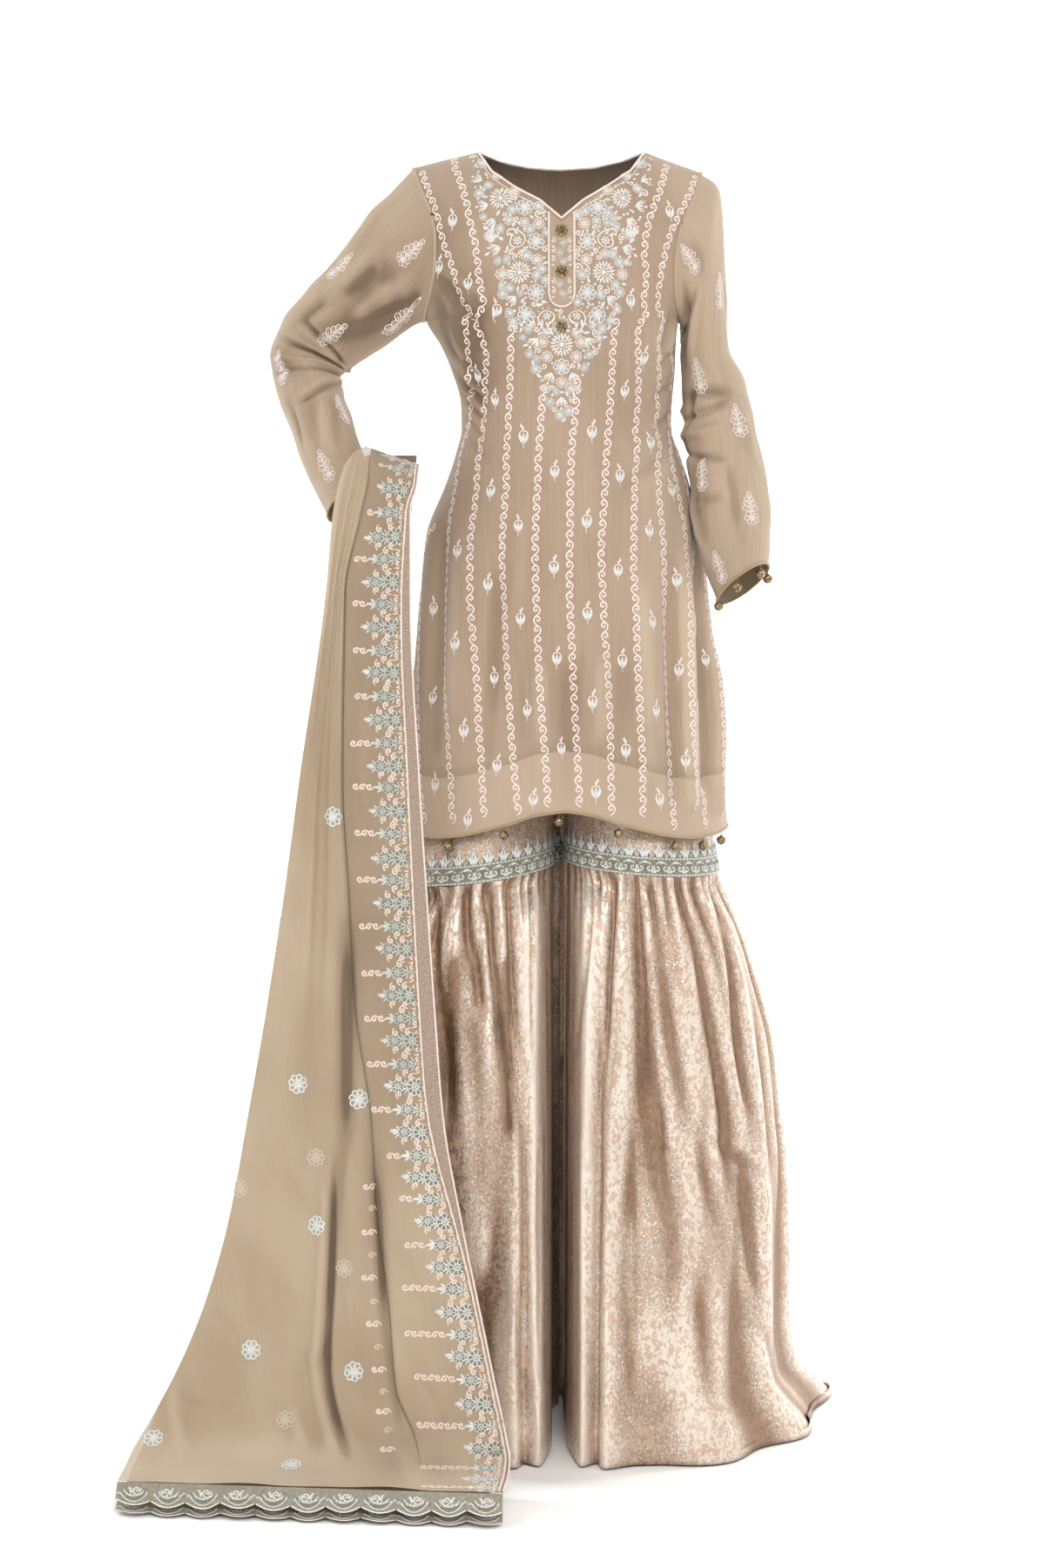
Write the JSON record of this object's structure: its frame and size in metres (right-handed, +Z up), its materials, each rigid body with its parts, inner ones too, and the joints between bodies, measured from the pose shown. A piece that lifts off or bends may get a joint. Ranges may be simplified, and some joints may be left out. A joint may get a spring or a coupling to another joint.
{
  "type": "gharara suit with long-sleeved kurti, gharara and dupatta",
  "caption": "Hollow worn gharara suit: embroidered knee-length kurti, gharara flared from knee bands, and a dupatta folded over the right forearm down to the floor.",
  "frame": {"origin": "middle of the shoulder line, where the wearer's shoulders hold the suit; the hems lie 1.46 m below it", "axes": "+Z up, the front of the suit faces -Y, +X towards the wearer's left"},
  "size_m": [0.7998, 0.623, 1.4627],
  "materials": {
    "kurti_chiffon": "sheer matt chiffon over its lining, with pale thread embroidery",
    "piping": "dull gold piped cord",
    "button_metal": "antiqued filigree metal",
    "bead_metal": "antiqued filigree metal",
    "jacquard": "rose satin jacquard with silver thread",
    "knee_trim": "dense silver and sage thread trim",
    "dupatta_chiffon": "sheer matt chiffon with pale thread embroidery",
    "tissue_strip": "metallic tissue with a slight speckle",
    "lace": "scalloped silver and sage thread lace"
  },
  "bodies": {
    "root": {"kurti_front": "kurti_chiffon", "kurti_back": "kurti_chiffon", "sleeve_right": "kurti_chiffon", "sleeve_left": "kurti_chiffon", "hem_facing_front": "kurti_chiffon", "hem_facing_back": "kurti_chiffon", "placket": "kurti_chiffon", "hem_piping_front": "piping", "hem_piping_back": "piping", "neck_piping": "piping", "cuff_piping_right": "piping", "cuff_piping_left": "piping", "button_1": "button_metal", "button_2": "button_metal", "button_3": "button_metal", "hem_bead_1": "bead_metal", "hem_bead_2": "bead_metal", "hem_bead_3": "bead_metal", "hem_bead_4": "bead_metal", "hem_bead_5": "bead_metal", "hem_bead_6": "bead_metal", "hem_bead_7": "bead_metal", "cuff_bead_1": "bead_metal", "cuff_bead_2": "bead_metal", "cuff_bead_3": "bead_metal", "cuff_bead_4": "bead_metal", "waistband": "jacquard", "thigh_right": "jacquard", "thigh_left": "jacquard", "flare_right": "jacquard", "flare_left": "jacquard", "knee_band_right": "knee_trim", "knee_band_left": "knee_trim", "dupatta_front_layer": "dupatta_chiffon", "dupatta_under_layer": "dupatta_chiffon", "dupatta_rear_fall": "dupatta_chiffon", "dupatta_edge_strip": "tissue_strip", "dupatta_lace_front": "lace", "dupatta_lace_under": "lace"}
  },
  "joints": []
}
